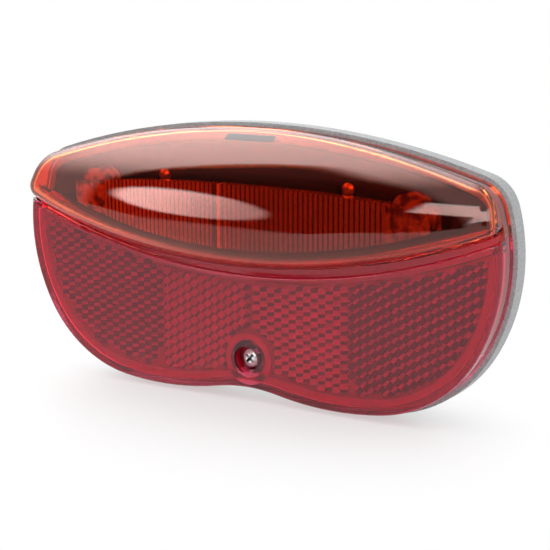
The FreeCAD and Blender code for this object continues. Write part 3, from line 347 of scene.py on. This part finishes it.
# Reflector prisms.
# The back of the reflector is moulded of red PMMA with four fields of cube corners, each 2.4 mm
# across, that keep clear of the rim and of the screw. A cube corner has three square faces.
cube_pitch = 2.4 * MM
cube_edge = cube_pitch / math.sqrt(2)
corner_spacing = cube_edge * math.sqrt(2 / 3)
corner_step = cube_edge / math.sqrt(3)
row_spacing = corner_spacing * math.sqrt(3) / 2
hair_gap = 0.02 * MM
prism_base = 0.05 * MM
panel_low, panel_high = [Vector(corner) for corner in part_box("reflex_panel")]
prism_tips = panel_high.y - hair_gap
prism_front = prism_tips - 2 * corner_step - prism_base
side_margin = 1.9 * MM
top_margin = 0.2 * MM
screw_height = -30 * MM
screw_clearing = 5.8 * MM
probe_reach = 100 * MM
spare_columns = 8
# Four inserts in the mould give four fields. Each has its own turn in degrees, and its own
# painted light for the three faces of a corner: 0 painted bright, 1 painted dark, 2 painted sparkle.
field_edges = (-27 * MM, 0, 28 * MM)
fields = ((0, (1, 0, 0)), (60, (0, 1, 2)), (0, (0, 0, 1)), (60, (1, 0, 1)))

panel_form = cad_form("reflex_panel")
panel_whole = BVHTree.FromBMesh(panel_form)
side_form = panel_form.copy()
flat = [face for face in side_form.faces if abs(face.normal.y) > 0.5]
bmesh.ops.delete(side_form, geom=flat, context="FACES")
panel_sides = BVHTree.FromBMesh(side_form)
side_form.free()


def clear_of_edges(point):
    """Whether a point of the lattice keeps clear of the panel's edge and of the screw."""
    probe = Vector((point.x, (panel_low.y + panel_high.y) / 2, point.z))
    behind = probe + Vector((0, probe_reach, 0))
    if panel_whole.ray_cast(behind, Vector((0, -1, 0)), 2 * probe_reach)[0] is None:
        return False
    if math.hypot(point.x, point.z - screw_height) < screw_clearing:
        return False
    facing, distance = panel_sides.find_nearest(probe)[1::2]
    return distance > (top_margin if facing.z > 0.5 else side_margin)


def drop(form, faces):
    """Deletes faces and the points that they leave loose."""
    bmesh.ops.delete(form, geom=faces, context="FACES")
    loose = [vert for vert in form.verts if not vert.link_faces]
    bmesh.ops.delete(form, geom=loose, context="VERTS")


def thicken(form, back):
    """Makes open faces a solid that ends in a flat back."""
    raised = bmesh.ops.extrude_face_region(form, geom=form.faces[:])
    for vert in [part for part in raised["geom"] if isinstance(part, bmesh.types.BMVert)]:
        vert.co.y = back


def prism_field(low, high, turn, face_painted_light):
    """One field of cube corners: a sheared grid whose points stand at three heights in turn."""
    form = bmesh.new()
    count = math.ceil(max(high - low, panel_high.z - panel_low.z) / corner_spacing) + spare_columns
    bmesh.ops.create_grid(form, x_segments=count, y_segments=count, size=count * corner_spacing / 2)
    shear = Matrix(((1, 0.5, 0), (0, 0, 1), (0, math.sqrt(3) / 2, 0)))
    middle = Vector(((low + high) / 2, 0, (panel_low.z + panel_high.z) / 2))
    bmesh.ops.transform(form, matrix=shear.to_4x4(), verts=form.verts)
    bmesh.ops.triangulate(form, faces=form.faces, quad_method="SHORT_EDGE")
    for vert in form.verts:
        row = round(vert.co.z / row_spacing + count / 2)
        column = round(vert.co.x / corner_spacing - (row - count / 2) / 2 + count / 2)
        vert.co.y = prism_front + corner_step * ((column - row) % 3)
    form.normal_update()
    # Each face takes the painted light of its slope: painted bright, painted dark or painted sparkle.
    for face in form.faces:
        slope = face.normal * math.copysign(1, -face.normal.y)
        third = int((math.degrees(math.atan2(slope.z, slope.x)) % 360) // 120)
        face.material_index = face_painted_light[third]
    bmesh.ops.rotate(form, verts=form.verts, matrix=Matrix.Rotation(math.radians(turn), 3, "Y"))
    bmesh.ops.translate(form, verts=form.verts, vec=middle)
    inside = {vert for vert in form.verts if low < vert.co.x < high and clear_of_edges(vert.co)}
    drop(form, [face for face in form.faces if not inside.issuperset(face.verts)])
    thicken(form, prism_tips)
    return form


prisms = bmesh.new()
for low, high, field in zip((panel_low.x,) + field_edges, field_edges + (panel_high.x,), fields):
    take_in(prisms, prism_field(low, high, *field))
# A face that returns a dark place of the room looks dark, and the others look bright or
# sparkle, so each of the three faces of a corner has that reflection painted on: painted dark,
# painted bright or painted sparkle.
painted_bright_corner = moulded("red_pmma_painted_bright_corner", 4 * MM, "#fdeaf0", "#ffffff", 0.002 * MM,
                        {"Roughness": 0.3, "IOR": 1.49})
painted_dark_corner = moulded("red_pmma_painted_dark_corner", 3 * MM, "#3a2a2c", "#4c393b", 0.002 * MM,
                      {"Roughness": 0.3, "IOR": 1.49})
painted_sparkle_corner = moulded("red_pmma_painted_sparkle_corner", 2 * MM, "#e8a8b4", "#fff2f4", 0.002 * MM,
                       {"Roughness": 0.15, "IOR": 1.49})
corner_painted_light = (painted_bright_corner, painted_dark_corner, painted_sparkle_corner)
finish_piece("reflector_prisms", prisms, corner_painted_light, "lens_cover", "reflex_red")


# Reflector rim.
# The smooth rim is welded to the cover all round. Along the top it is a flange instead, which
# stands up from the cover's edge behind the groove and keeps the groove crimson.
rim_width = side_margin - 0.2 * MM
flange_rise = 4 * MM
flange_foot = rim_width + 0.3 * MM
flange_front = 0.1 * MM
near_outline = 0.3 * MM


def rim_faces(along_top, depth):
    """The band inside the panel's outline at a depth, either along its top or everywhere else."""
    form = cad_form("reflex_panel")
    unseen = [face for face in form.faces if face.normal.y > -0.5]
    bmesh.ops.delete(form, geom=unseen, context="FACES")
    band = bmesh.ops.inset_region(form, faces=form.faces[:], thickness=rim_width,
                                  use_boundary=True, use_even_offset=True)["faces"]
    kept = set()
    for face in band:
        middle = face.calc_center_median()
        top = panel_sides.find_nearest(middle)[1].z > 0.5 and middle.z > screw_height / 2
        if top == along_top:
            kept.add(face)
    drop(form, [face for face in form.faces if face not in kept])
    for vert in form.verts:
        vert.co.y = depth
    return form


cover_low, cover_high = [Vector(corner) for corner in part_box("reflex_cover")]
rim_form = rim_faces(False, prism_front)
thicken(rim_form, prism_tips)
flange = rim_faces(True, panel_low.y)
for vert in flange.verts:
    on_outline = panel_sides.find_nearest(vert.co)[3] < near_outline
    vert.co.z += flange_rise if on_outline else flange_foot
    vert.co.y = cover_low.y - flange_front
thicken(flange, cover_high.y)
take_in(rim_form, flange)
# Pigment makes the PMMA cloudy, so the rim is an even pale red behind the clear plate.
rim_red = moulded("red_pmma_pigmented", 1.5 * MM, "#ecc0ca", "#f4d0d8", 0.01 * MM,
                  {"Roughness": 0.35, "IOR": 1.49, "Transmission Weight": 0.2})
finish_piece("reflector_rim", rim_form, (rim_red,), "lens_cover", "reflex_red")


# Reflector plate.
# The clear front of the reflector's moulding, in crimson PMMA. It ends where the prisms start
# and gives them their colour.
def polish(made, place, wave, relief, settings, links):
    """Finishes clear red PMMA from a polished mould. It mirrors, and its surface waves faintly."""
    flow = add(made, "ShaderNodeTexNoise", {"Scale": 1 / wave, "Detail": 1.0},
               {"Vector": (place, "Object")})
    bump = add(made, "ShaderNodeBump", {"Strength": 0.5, "Distance": relief}, {"Height": (flow, "Fac")})
    clear = {"Roughness": 0.0, "Transmission Weight": 1.0, "IOR": 1.49}
    shader = add(made, "ShaderNodeBsdfPrincipled", {**clear, **settings},
                 {"Normal": (bump, "Normal"), **links})
    add(made, "ShaderNodeOutputMaterial", None, {"Surface": (shader, "BSDF")})


cut(panel_form, (0, prism_front - hair_gap, 0), (0, 1, 0))
plate_red = material("red_pmma_plate")
plate_place = add(plate_red, "ShaderNodeTexCoord")
polish(plate_red, plate_place, 5 * MM, 0.004 * MM, {"Base Color": linear("#fea0ed")}, {})
finish_piece("reflector_plate", panel_form, (plate_red,), "lens_cover", "reflex_red", "reflex_panel")


# Front lens.
# One moulding of transparent red PMMA from a polished mould: the bulged window, the groove,
# the lower plate, the counterbore and the skirt. It is smooth and mirrors the studio.
# The tint is orange red in the window and turns crimson close in front of the reflector.
window_red = "#f16c38"
lower_red = "#fc557c"
turn_in_front = (4.2 * MM, 2.4 * MM)
turn_above = (5 * MM, 2 * MM)
lens_red = material("red_pmma")
lens_place = add(lens_red, "ShaderNodeTexCoord")
lens_axes = add(lens_red, "ShaderNodeSeparateXYZ", None, {"Vector": (lens_place, "Object")})
behind = add(lens_red, "ShaderNodeMapRange",
             {"From Min": panel_low.y - turn_in_front[0], "From Max": panel_low.y - turn_in_front[1]},
             {"Value": (lens_axes, "Y")})
below = add(lens_red, "ShaderNodeMapRange",
            {"From Min": panel_high.z + turn_above[0], "From Max": panel_high.z + turn_above[1]},
            {"Value": (lens_axes, "Z")})
lower_part = add(lens_red, "ShaderNodeMath", {"operation": "MULTIPLY"},
                 {0: (behind, "Result"), 1: (below, "Result")})
lens_tint = add(lens_red, "ShaderNodeMix",
                {"data_type": "RGBA", 6: linear(window_red), 7: linear(lower_red)},
                {0: (lower_part, "Value")})
polish(lens_red, lens_place, 9 * MM, 0.01 * MM, {}, {"Base Color": (lens_tint, 2)})
dress(lens_red, "front_lens")


# Lens screw.
# A pan head screw of steel with a cross recess, whose coarse thread forms its own way into the
# housing's boss. Its chromium plating is bright, and the recess is painted dark as shade.
screw_pitch = 1.2 * MM
screw_diameter = 2.7 * MM
screw_facets = 20
head_depth = 1.9 * MM
screw_neck = 0.6 * MM
thread_lap = 0.05 * MM
recess_depth = 1.5 * MM
recess_reach = 1.75 * MM
recess_slot = 0.72 * MM
recess_turn = 40
mouth_wider = 1.1           # shares of the recess's reach and slot, at its mouth and its floor
floor_shorter = 0.45
floor_narrower = 0.7
wing_proud = 0.5 * MM
dark_from = 0.35 * MM
dark_share = 0.8
dark_slack = 0.1 * MM
screw_low, screw_high = [Vector(corner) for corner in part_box("lens_screw")]
neck_end = screw_low.y + head_depth + screw_neck
head_form = cad_form("lens_screw")
cut(head_form, (0, neck_end, 0), (0, 1, 0))
bmesh.ops.recalc_face_normals(head_form, faces=head_form.faces)
recess_form = bmesh.new()
for turn in (recess_turn, recess_turn + 90):
    wing = bmesh.new()
    bmesh.ops.create_cube(wing, size=1)
    for vert in wing.verts:
        deep = vert.co.y > 0
        vert.co.x *= 2 * recess_reach * (floor_shorter if deep else 1)
        vert.co.z *= recess_slot * (floor_narrower if deep else mouth_wider)
        vert.co.y = screw_low.y + (recess_depth if deep else -wing_proud)
    bmesh.ops.rotate(wing, verts=wing.verts, matrix=Matrix.Rotation(math.radians(turn), 3, "Y"))
    bmesh.ops.translate(wing, verts=wing.verts, vec=(0, 0, screw_height))
    take_in(recess_form, wing)
head = lay_out("head", head_form)
recess = lay_out("recess", recess_form)
carve = head.modifiers.new("recess", "BOOLEAN")
carve.operation = "DIFFERENCE"
carve.solver = "EXACT"
carve.use_self = True
carve.object = recess
bpy.context.view_layer.update()
carved = bpy.data.meshes.new_from_object(head.evaluated_get(bpy.context.evaluated_depsgraph_get()))
screw_form = bmesh.new()
screw_form.from_mesh(carved)
for scrap in (head, recess):
    bpy.data.objects.remove(scrap)
# Faces deep in the recess take the second finish, which is painted shade.
for face in screw_form.faces:
    middle = face.calc_center_median()
    off_axis = math.hypot(middle.x, middle.z - screw_height)
    sunk = dark_from < middle.y - screw_low.y < recess_depth + dark_slack
    face.material_index = int(sunk and off_axis < dark_share * recess_reach)
screw_thread = rolled_thread(screw_diameter, screw_pitch, neck_end - thread_lap, screw_high.y, screw_facets)
bmesh.ops.translate(screw_thread, verts=screw_thread.verts, vec=(0, 0, screw_height))
take_in(screw_form, screw_thread)
chrome = moulded("nickel_chrome_plate", 2 * MM, "#eeeef0", "#fafafa", 0.002 * MM,
                 {"Metallic": 0.5, "Roughness": 0.3})
recess_painted_shade = moulded("steel_with_painted_recess_shade", 2 * MM, "#3c3c40", "#505054", 0.002 * MM,
                      {"Metallic": 0.6, "Roughness": 0.5})
screw_finish_and_shade = (chrome, recess_painted_shade)
finish_piece("cross_recess_screw", screw_form, screw_finish_and_shade, "lens_screw", "screw_chrome", "lens_screw")


# Switch plunger.
# A small pin between the button and the switch. It is moulded of white acetal, which looks
# smooth and a little waxy.
pom = moulded("white_acetal", 1 * MM, "#d8d6d0", "#e6e4de", 0.004 * MM, {"Roughness": 0.4})
dress(pom, "switch_plunger")


# Studio floor.
# A sheet of white paper lies under the lamp and takes its soft shadow. Far off it fades to
# plain white, and mirrors and glass see it so too.
shadow_reach = 50 * MM
paper_end = 130 * MM
paper_size = 12             # metres from the middle to each edge
floor_form = bmesh.new()
bmesh.ops.create_grid(floor_form, x_segments=1, y_segments=1, size=paper_size)
bmesh.ops.translate(floor_form, verts=floor_form.verts, vec=(0, 0, cad_box[0][2]))
floor = lay_out("studio_floor", floor_form)
paper = material("white_paper")
paper_place = add(paper, "ShaderNodeTexCoord")
paper_far = add(paper, "ShaderNodeVectorMath", {"operation": "LENGTH"}, {0: (paper_place, "Object")})
paper_fade = add(paper, "ShaderNodeMapRange",
                 {"interpolation_type": "SMOOTHSTEP", "From Min": shadow_reach, "From Max": paper_end,
                  "To Min": 0.5},
                 {"Value": (paper_far, "Value")})
paper_sight = add(paper, "ShaderNodeLightPath")
paper_seen = (paper_sight, "Is Camera Ray")
for ray in ("Is Glossy Ray", "Is Transmission Ray"):
    either = add(paper, "ShaderNodeMath", {"operation": "MAXIMUM"}, {0: paper_seen, 1: (paper_sight, ray)})
    paper_seen = (either, "Value")
paper_mask = add(paper, "ShaderNodeMath", {"operation": "MULTIPLY"},
                 {0: paper_seen, 1: (paper_fade, "Result")})
paper_shader = add(paper, "ShaderNodeBsdfPrincipled",
                   {"Base Color": linear("#f7f7f7"), "Roughness": 0.45})
paper_white = add(paper, "ShaderNodeEmission", {"Strength": 1.0})
paper_mix = add(paper, "ShaderNodeMixShader", None,
                {0: (paper_mask, "Value"), 1: (paper_shader, "BSDF"), 2: (paper_white, "Emission")})
add(paper, "ShaderNodeOutputMaterial", None, {"Surface": (paper_mix, "Shader")})
floor.data.materials.append(paper)


# Studio room.
# The room is white. Gloss and glass also see a dark end in front of the lamp, a dark screen
# behind the camera, and three bright panels: overhead, front left and right. All places are
# directions in degrees, with the azimuth from the front and the elevation from level.
end_centre = (-23.51, -4.37)
end_half_size = (27.5, 58.0)
end_slant = 0.23
end_lean = 0.25
end_darkness = 0.97
screen_centre = (31.16, 11.01)
screen_edge = (17, 13)
screen_darkness = 0.93
overhead_centre = (-105, 60)
overhead_edge = (46, 18)
overhead_light = 4.8
front_centre = (-41.0, 19.5)
front_half_size = (12.5, 9.5)
front_lean = 0.2
front_light = 8.0
right_light = 5.5
world = bpy.data.worlds.new("studio")
world.use_nodes = True
world.node_tree.nodes.clear()
way = add(world, "ShaderNodeTexCoord")
axes = add(world, "ShaderNodeSeparateXYZ", None, {"Vector": (way, "Generated")})
forward = add(world, "ShaderNodeMath", {"operation": "MULTIPLY", 1: -1.0}, {0: (axes, "Y")})
turned = add(world, "ShaderNodeMath", {"operation": "ARCTAN2"}, {0: (axes, "X"), 1: (forward, "Value")})
azimuth = add(world, "ShaderNodeMath", {"operation": "DEGREES"}, {0: (turned, "Value")})
lifted = add(world, "ShaderNodeMath", {"operation": "ARCSINE"}, {0: (axes, "Z")})
elevation = add(world, "ShaderNodeMath", {"operation": "DEGREES"}, {0: (lifted, "Value")})
angles = add(world, "ShaderNodeCombineXYZ", None, {"X": (azimuth, "Value"), "Y": (elevation, "Value")})


def from_panel(centre, half_size, slant, lean, power):
    """How far a direction is from a panel's centre, with one at its edge. A power of 2 gives an
    oval and 4 a rounded rectangle. Slant tips its upright sides and lean its level ones."""
    apart = add(world, "ShaderNodeVectorMath", {"operation": "SUBTRACT", 1: (*centre, 0)},
                {0: (angles, "Vector")})
    across = Vector((1, slant, 0)) / half_size[0]
    upwards = Vector((lean, 1, 0)) / half_size[1]
    powers = []
    for side in (across, upwards):
        share = add(world, "ShaderNodeVectorMath", {"operation": "DOT_PRODUCT", 1: side},
                    {0: (apart, "Vector")})
        powers.append(add(world, "ShaderNodeMath", {"operation": "POWER", 1: power}, {0: (share, "Value")}))
    return add(world, "ShaderNodeMath", {"operation": "ADD"},
               {0: (powers[0], "Value"), 1: (powers[1], "Value")})


def within(*edges):
    """Where all values are past their soft edges, given by a value's start and its end."""
    inside = None
    for value, start, end in edges:
        edge = add(world, "ShaderNodeMapRange",
                   {"interpolation_type": "SMOOTHSTEP", "From Min": start, "From Max": end},
                   {"Value": (value, "Value")})
        if inside is None:
            inside = (edge, "Result")
        else:
            both = add(world, "ShaderNodeMath", {"operation": "MULTIPLY"}, {0: inside, 1: (edge, "Result")})
            inside = (both, "Value")
    return inside


def round_patch(centre, edge):
    """A round part of the room about a direction, soft between two angles from it."""
    turn, height = [math.radians(angle) for angle in centre]
    line = Vector((math.sin(turn), -math.cos(turn), math.tan(height))).normalized()
    start, end = [math.cos(math.radians(angle)) for angle in edge]
    cosine = add(world, "ShaderNodeVectorMath", {"operation": "DOT_PRODUCT", 1: line},
                 {0: (way, "Generated")})
    return within((cosine, start, end))


# The dark end starts above the floor line. The cube corners of the reflector return the screen.
end_reach = from_panel(end_centre, end_half_size, end_slant, end_lean, 4.0)
dark_end = within((end_reach, 1.2, 0.84), (elevation, 3.5, 6.5))
screen = round_patch(screen_centre, screen_edge)
overhead = round_patch(overhead_centre, overhead_edge)

# The front panel is an oval that dims towards the right. The right panel is a band, which
# ends in a point towards the middle.
front_reach = from_panel(front_centre, front_half_size, 0.0, front_lean, 2.0)
front_dimming = add(world, "ShaderNodeMapRange",
                    {"interpolation_type": "SMOOTHSTEP", "From Min": -50.0, "From Max": -30.0,
                     "To Min": 1.0, "To Max": 0.4},
                    {"Value": (azimuth, "Value")})
front = add(world, "ShaderNodeMath", {"operation": "MULTIPLY"},
            {0: within((front_reach, 1.15, 0.7)), 1: (front_dimming, "Result")})
band_top = (elevation, 42.0, 40.5)
band_end = (azimuth, 95.0, 70.0)
band_point = within((azimuth, -14.0, -12.0), (elevation, 30.8, 32.2), band_top, band_end)
band_body = within((azimuth, -4.6, -3.2), (elevation, 21.0, 23.0), band_top, band_end)
right = add(world, "ShaderNodeMath", {"operation": "MAXIMUM"}, {0: band_point, 1: band_body})

mirrored = add(world, "ShaderNodeMath", {"operation": "MULTIPLY_ADD", 1: overhead_light, 2: 1.0},
               {0: overhead})
for dark, darkness in ((dark_end, end_darkness), (screen, screen_darkness)):
    left_over = add(world, "ShaderNodeMath", {"operation": "MULTIPLY_ADD", 1: -darkness, 2: 1.0}, {0: dark})
    mirrored = add(world, "ShaderNodeMath", {"operation": "MULTIPLY"},
                   {0: (mirrored, "Value"), 1: (left_over, "Value")})
for panel, light in ((front, front_light), (right, right_light)):
    mirrored = add(world, "ShaderNodeMath", {"operation": "MULTIPLY_ADD", 1: light},
                   {0: (panel, "Value"), 2: (mirrored, "Value")})

# Seen directly the room is white. Matt surfaces get a plain light, a little more from above.
upper = add(world, "ShaderNodeMath", {"operation": "MULTIPLY_ADD", 1: 0.15, 2: 1.0}, {0: (axes, "Z")})
plain = add(world, "ShaderNodeMath", {"operation": "MULTIPLY_ADD", 1: 0.4},
            {0: overhead, 2: (upper, "Value")})
sight = add(world, "ShaderNodeLightPath")
mirror_rays = add(world, "ShaderNodeMath", {"operation": "MAXIMUM"},
                  {0: (sight, "Is Glossy Ray"), 1: (sight, "Is Transmission Ray")})
unseen_light = add(world, "ShaderNodeMix", None,
                   {0: (mirror_rays, "Value"), 2: (plain, "Value"), 3: (mirrored, "Value")})
strength = add(world, "ShaderNodeMix", {3: 1.0}, {0: (sight, "Is Camera Ray"), 2: (unseen_light, 0)})
glow = add(world, "ShaderNodeBackground", {"Color": (1, 1, 1, 1)}, {"Strength": (strength, 0)})
add(world, "ShaderNodeOutputWorld", None, {"Surface": (glow, "Background")})
scene = bpy.context.scene
scene.world = world
scene.view_settings.view_transform = "Standard"
scene.cycles.max_bounces = 24
scene.cycles.transmission_bounces = 24
scene.cycles.glossy_bounces = 12


# Camera.
# It stands in front of the lamp, off to the right and a little above, and looks at its middle
# through a long lens.
eye = Vector((201.1, -335.5, 64.9)) * MM
aim = Vector((8.70, -24.0, -7.46)) * MM
roll = -0.15                # degrees
camera_data = bpy.data.cameras.new("camera")
camera_data.lens = 99.92
camera_data.sensor_width = 36
camera_data.clip_start = 10 * MM
camera = bpy.data.objects.new("camera", camera_data)
looking = (eye - aim).to_track_quat("Z", "Y").to_matrix().to_4x4()
camera.matrix_world = Matrix.Translation(eye) @ looking @ Matrix.Rotation(math.radians(roll), 4, "Z")
scene.collection.objects.link(camera)
scene.camera = camera
